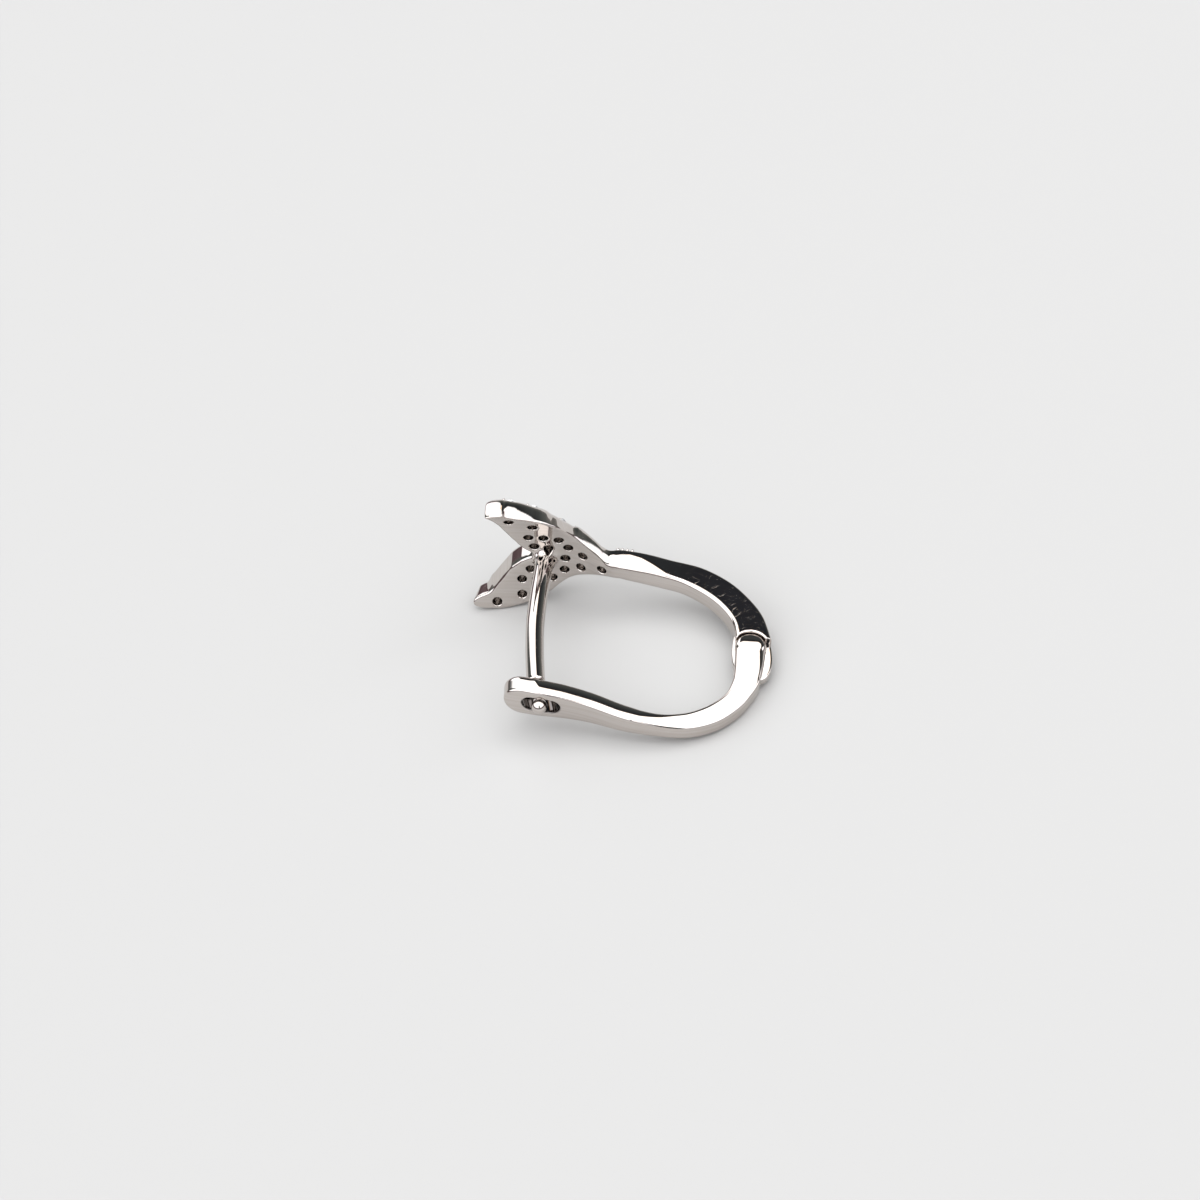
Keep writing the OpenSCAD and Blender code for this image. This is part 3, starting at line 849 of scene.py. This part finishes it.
def polished_metal(name, roughness, scratch):
    """Mirror-polished white metal with lines along the hoop, fine scratches and a slight unevenness."""
    material, nodes, links = new_material(name)
    shader = nodes["Principled BSDF"]
    shader.inputs["Metallic"].default_value = 1.0
    coordinates = nodes.new("ShaderNodeTexCoord")

    def noise(per_metre, detail, turn):
        placed = nodes.new("ShaderNodeMapping")
        placed.vector_type = "TEXTURE"
        placed.inputs["Rotation"].default_value = turn
        placed.inputs["Scale"].default_value = [1 / n for n in per_metre]
        links.new(coordinates.outputs["Object"], placed.inputs["Vector"])
        texture = nodes.new("ShaderNodeTexNoise")
        texture.inputs["Scale"].default_value = 1
        texture.inputs["Detail"].default_value = detail
        links.new(placed.outputs["Vector"], texture.inputs["Vector"])
        return texture.outputs["Fac"]

    along_hoop = HOOP_TURN.to_euler()
    polishing = nodes.new("ShaderNodeValToRGB")
    ends = zip(polishing.color_ramp.elements, POLISH_RANGE, (POLISH_COLOUR, METAL_COLOUR))
    for element, place, colour in ends:
        element.position = place
        element.color = (*colour, 1)
    links.new(noise(POLISH_LINES, 4, along_hoop), polishing.inputs["Fac"])
    # The slot's walls darken the colour: painted shade, and unpolished metal
    unpolished_and_shade = nodes.new("ShaderNodeAttribute")
    unpolished_and_shade.attribute_name = "unpolished_and_shade"
    darkened = nodes.new("ShaderNodeMix")
    darkened.data_type = "RGBA"
    darkened.inputs[7].default_value = (*UNPOLISHED_AND_SHADE_COLOUR, 1)
    links.new(unpolished_and_shade.outputs["Fac"], darkened.inputs[0])
    links.new(polishing.outputs["Color"], darkened.inputs[6])
    links.new(darkened.outputs[2], shader.inputs["Base Color"])

    worn = nodes.new("ShaderNodeMath")
    worn.operation = "MAXIMUM"
    for i, (per_metre, turn) in enumerate(SCRATCHES):
        links.new(noise(per_metre, 2, turn), worn.inputs[i])
    roughened = nodes.new("ShaderNodeMapRange")
    sockets = ("From Min", "From Max", "To Min", "To Max")
    for socket, number in zip(sockets, (*SCRATCH_RANGE, roughness, scratch)):
        roughened.inputs[socket].default_value = number
    links.new(worn.outputs["Value"], roughened.inputs["Value"])
    links.new(roughened.outputs["Result"], shader.inputs["Roughness"])

    bump = nodes.new("ShaderNodeBump")
    bump.inputs["Strength"].default_value = 0.3
    bump.inputs["Distance"].default_value = WAVE_HEIGHT
    links.new(noise(WAVES, 3, along_hoop), bump.inputs["Height"])
    links.new(bump.outputs["Normal"], shader.inputs["Normal"])
    return material


def clear_stone(name):
    """Clear cut stone with faint cloudiness at its facets."""
    material, nodes, links = new_material(name)
    shader = nodes["Principled BSDF"]
    shader.inputs["Transmission Weight"].default_value = 0.88
    shader.inputs["IOR"].default_value = 2.1
    coordinates = nodes.new("ShaderNodeTexCoord")
    noise = nodes.new("ShaderNodeTexNoise")
    noise.inputs["Scale"].default_value = STONE_CLOUDS
    links.new(coordinates.outputs["Object"], noise.inputs["Vector"])
    rough = nodes.new("ShaderNodeMapRange")
    rough.inputs["To Min"].default_value = 0.0
    rough.inputs["To Max"].default_value = STONE_HAZE
    links.new(noise.outputs["Fac"], rough.inputs["Value"])
    links.new(rough.outputs["Result"], shader.inputs["Roughness"])
    shader.inputs["Base Color"].default_value = STONE_COLOUR
    return material


def brilliant(point, n):
    """Corners and faces of one round cut stone with a table, star, bezel and pavilion facets."""
    side, up = axes_across(n)

    def ring(r, z, count, turn):
        return [point + n * (z - SEAT_SINK) + r * (math.cos(a) * side + math.sin(a) * up)
                for a in (2 * math.pi * (k + turn) / count for k in range(count))]

    table = ring(STONE_R * TABLE_SHARE, CROWN_H, 8, 0)
    star = ring(STONE_R * STAR_SHARES[0], CROWN_H * STAR_SHARES[1], 8, 0.5)
    girdle_top = ring(STONE_R, 0.0, 16, 0)
    girdle_low = ring(STONE_R, -GIRDLE_H, 16, 0)
    low = ring(STONE_R * PAVILION_SHARES[0], -GIRDLE_H - PAVILION_H * PAVILION_SHARES[1], 8, 0.5)
    culet = [point - n * (GIRDLE_H + PAVILION_H + SEAT_SINK)]
    corners = table + star + girdle_top + girdle_low + low + culet
    faces = [[7, 6, 5, 4, 3, 2, 1, 0]]
    for k in range(8):
        nxt, before = (k + 1) % 8, (k - 1) % 8
        a, b, c = 16 + 2 * k, 17 + 2 * k, 16 + (2 * k + 2) % 16
        faces += [[k, nxt, 8 + k], [8 + before, k, 8 + k, a], [8 + k, b, a], [8 + k, c, b]]
        faces += [[a, b, b + 16, a + 16], [b, c, c + 16, b + 16]]
        faces += [[a + 16, b + 16, 48 + k], [b + 16, c + 16, 48 + k], [48 + before, a + 16, 48 + k, 56]]
    return corners, faces


# Pieces
front_metal = polished_metal("polished_front", 0.03, 0.16)
lever_metal = polished_metal("polished_lever", 0.03, 0.12)
stone_clear = clear_stone("clear_stone")

front_solid = build_front()
make_piece("front_body", *front_solid.mesh(), "front", ["front_frame"], "metal", front_metal)
make_piece("stone_grains", *build_grains(front_solid), "front", ["front_frame"], "metal", front_metal)
make_piece("ear_post", *build_post(), "front", ["front_frame"], "metal", front_metal)
make_piece("hinge_tongue", *build_tongue(), "front", ["front_frame"], "metal", front_metal)
lever_shape = build_lever()
lever_body = make_piece("lever_body", *lever_shape, "lever", ["lever"], "lever_metal", lever_metal)
# Painted shade on the slot's walls, with their unpolished metal, held as a darkening share per corner
unpolished_and_shade = lever_body.data.attributes.new("unpolished_and_shade", "FLOAT", "POINT")
unpolished_and_shade.data.foreach_set("value", slot_wall(lever_shape[0]))
pin = frame["nodes"]["hinge_pin"]
pin.data.materials.clear()
pin.data.materials.append(lever_metal)

for node, point, n, _ in seats():
    corners, faces = brilliant(point, n)
    make_piece(f"cut_{node}", np.array(corners), faces, None, "front", [node], "stone", stone_clear)

# Floor
floor_mesh = bpy.data.meshes.new("floor")
FLOOR_CORNERS = [(-0.6, -0.6, 0), (0.6, -0.6, 0), (0.6, 0.6, 0), (-0.6, 0.6, 0)]
floor_mesh.from_pydata(FLOOR_CORNERS, [], [(0, 1, 2, 3)])
floor = bpy.data.objects.new("floor", floor_mesh)
bpy.context.scene.collection.objects.link(floor)
floor_material, floor_nodes, _ = new_material("pale_floor")
floor_shader = floor_nodes["Principled BSDF"]
floor_shader.inputs["Base Color"].default_value = FLOOR_COLOUR
floor_shader.inputs["Roughness"].default_value = 0.9
floor_shader.inputs["Specular IOR Level"].default_value = 0.1
floor_mesh.materials.append(floor_material)

# Surroundings: a white room with stretches of dark wall, for the metal and the stones to reflect
world = bpy.context.scene.world or bpy.data.worlds.new("studio")
bpy.context.scene.world = world
world.use_nodes = True
tree = world.node_tree
tree.nodes.clear()


def world_node(kind, **settings):
    """A node of the surroundings, with its settings."""
    node = tree.nodes.new(kind)
    for name, value in settings.items():
        setattr(node, name, value)
    return node


def stop_ramp(stops):
    """A colour ramp through stops of place and colour."""
    node = world_node("ShaderNodeValToRGB")
    ramp = node.color_ramp
    while len(ramp.elements) < len(stops):
        ramp.elements.new(0.5)
    for element, (place, colour) in zip(ramp.elements, stops):
        element.position = place
        element.color = (*colour, 1)
    return node


coordinates = world_node("ShaderNodeTexCoord")
split = world_node("ShaderNodeSeparateXYZ")
tree.links.new(coordinates.outputs["Generated"], split.inputs["Vector"])
wall = stop_ramp(WALL_STOPS)
room = stop_ramp(ROOM_STOPS)
tree.links.new(split.outputs["Z"], wall.inputs["Fac"])
tree.links.new(split.outputs["Z"], room.inputs["Fac"])
bearing = world_node("ShaderNodeMath", operation="ARCTAN2")
tree.links.new(split.outputs["X"], bearing.inputs[0])
tree.links.new(split.outputs["Y"], bearing.inputs[1])
turned_to = world_node("ShaderNodeMapRange")
turned_to.inputs["From Min"].default_value = -math.pi
turned_to.inputs["From Max"].default_value = math.pi
tree.links.new(bearing.outputs["Value"], turned_to.inputs["Value"])
share = stop_ramp([(turn / 360 + 0.5, (dark, dark, dark)) for turn, dark in WALL_TURNS])
tree.links.new(turned_to.outputs["Result"], share.inputs["Fac"])
mix = world_node("ShaderNodeMix", data_type="RGBA")
tree.links.new(share.outputs["Color"], mix.inputs[0])
tree.links.new(room.outputs["Color"], mix.inputs[6])
tree.links.new(wall.outputs["Color"], mix.inputs[7])
background = world_node("ShaderNodeBackground")
tree.links.new(mix.outputs[2], background.inputs["Color"])
output = world_node("ShaderNodeOutputWorld")
tree.links.new(background.outputs["Background"], output.inputs["Surface"])


def soft_light(name, place, target, size, power):
    """A square soft light that faces a target; places in millimetres of the row frame."""
    light = bpy.data.lights.new(name, "AREA")
    light.shape = "SQUARE"
    light.size = size / 1000
    light.energy = power
    lamp = bpy.data.objects.new(name, light)
    bpy.context.scene.collection.objects.link(lamp)
    lamp.location = Vector(place) / 1000
    lamp.rotation_euler = (Vector(place) - Vector(target)).to_track_quat("Z", "Y").to_euler()


soft_light("key_soft", (70, 60, 260), (0, 0, 0), 100, 0.05)

# Camera at the photograph's view of the hoop: its axes in the hoop's frame, the point that it looks
# towards, its distance, and how far that point is from the picture's middle, in millimetres
VIEW_RIGHT = np.array([0.99849, 0.03968, 0.03802])
VIEW_UP = np.array([-0.05481, 0.76903, 0.63686])
VIEW_BACK = np.array([-0.00396, -0.63799, 0.77004])
VIEW_CENTRE = np.array([4.5, 5.0, 0.0])
VIEW_DISTANCE = 145.0
VIEW_ASIDE = 1.489
VIEW_DOWN = -1.640
PIXELS_PER_MM = 19.78
PICTURE_PIXELS = 1200
SENSOR_MM = 36

camera_data = bpy.data.cameras.new("camera")
camera_data.sensor_width = SENSOR_MM
camera_data.lens = SENSOR_MM * PIXELS_PER_MM * VIEW_DISTANCE / PICTURE_PIXELS
camera_data.clip_start = 0.001
camera = bpy.data.objects.new("camera", camera_data)
bpy.context.scene.collection.objects.link(camera)
eye = to_row(VIEW_CENTRE - VIEW_RIGHT * VIEW_ASIDE - VIEW_UP * VIEW_DOWN + VIEW_BACK * VIEW_DISTANCE)
turn = np.stack([turned(VIEW_RIGHT), turned(VIEW_UP), turned(VIEW_BACK)], 1)
camera.matrix_world = Matrix.Translation(Vector(eye)) @ Matrix(turn.tolist()).to_4x4()
bpy.context.scene.camera = camera
bpy.context.scene.view_settings.view_transform = "Standard"
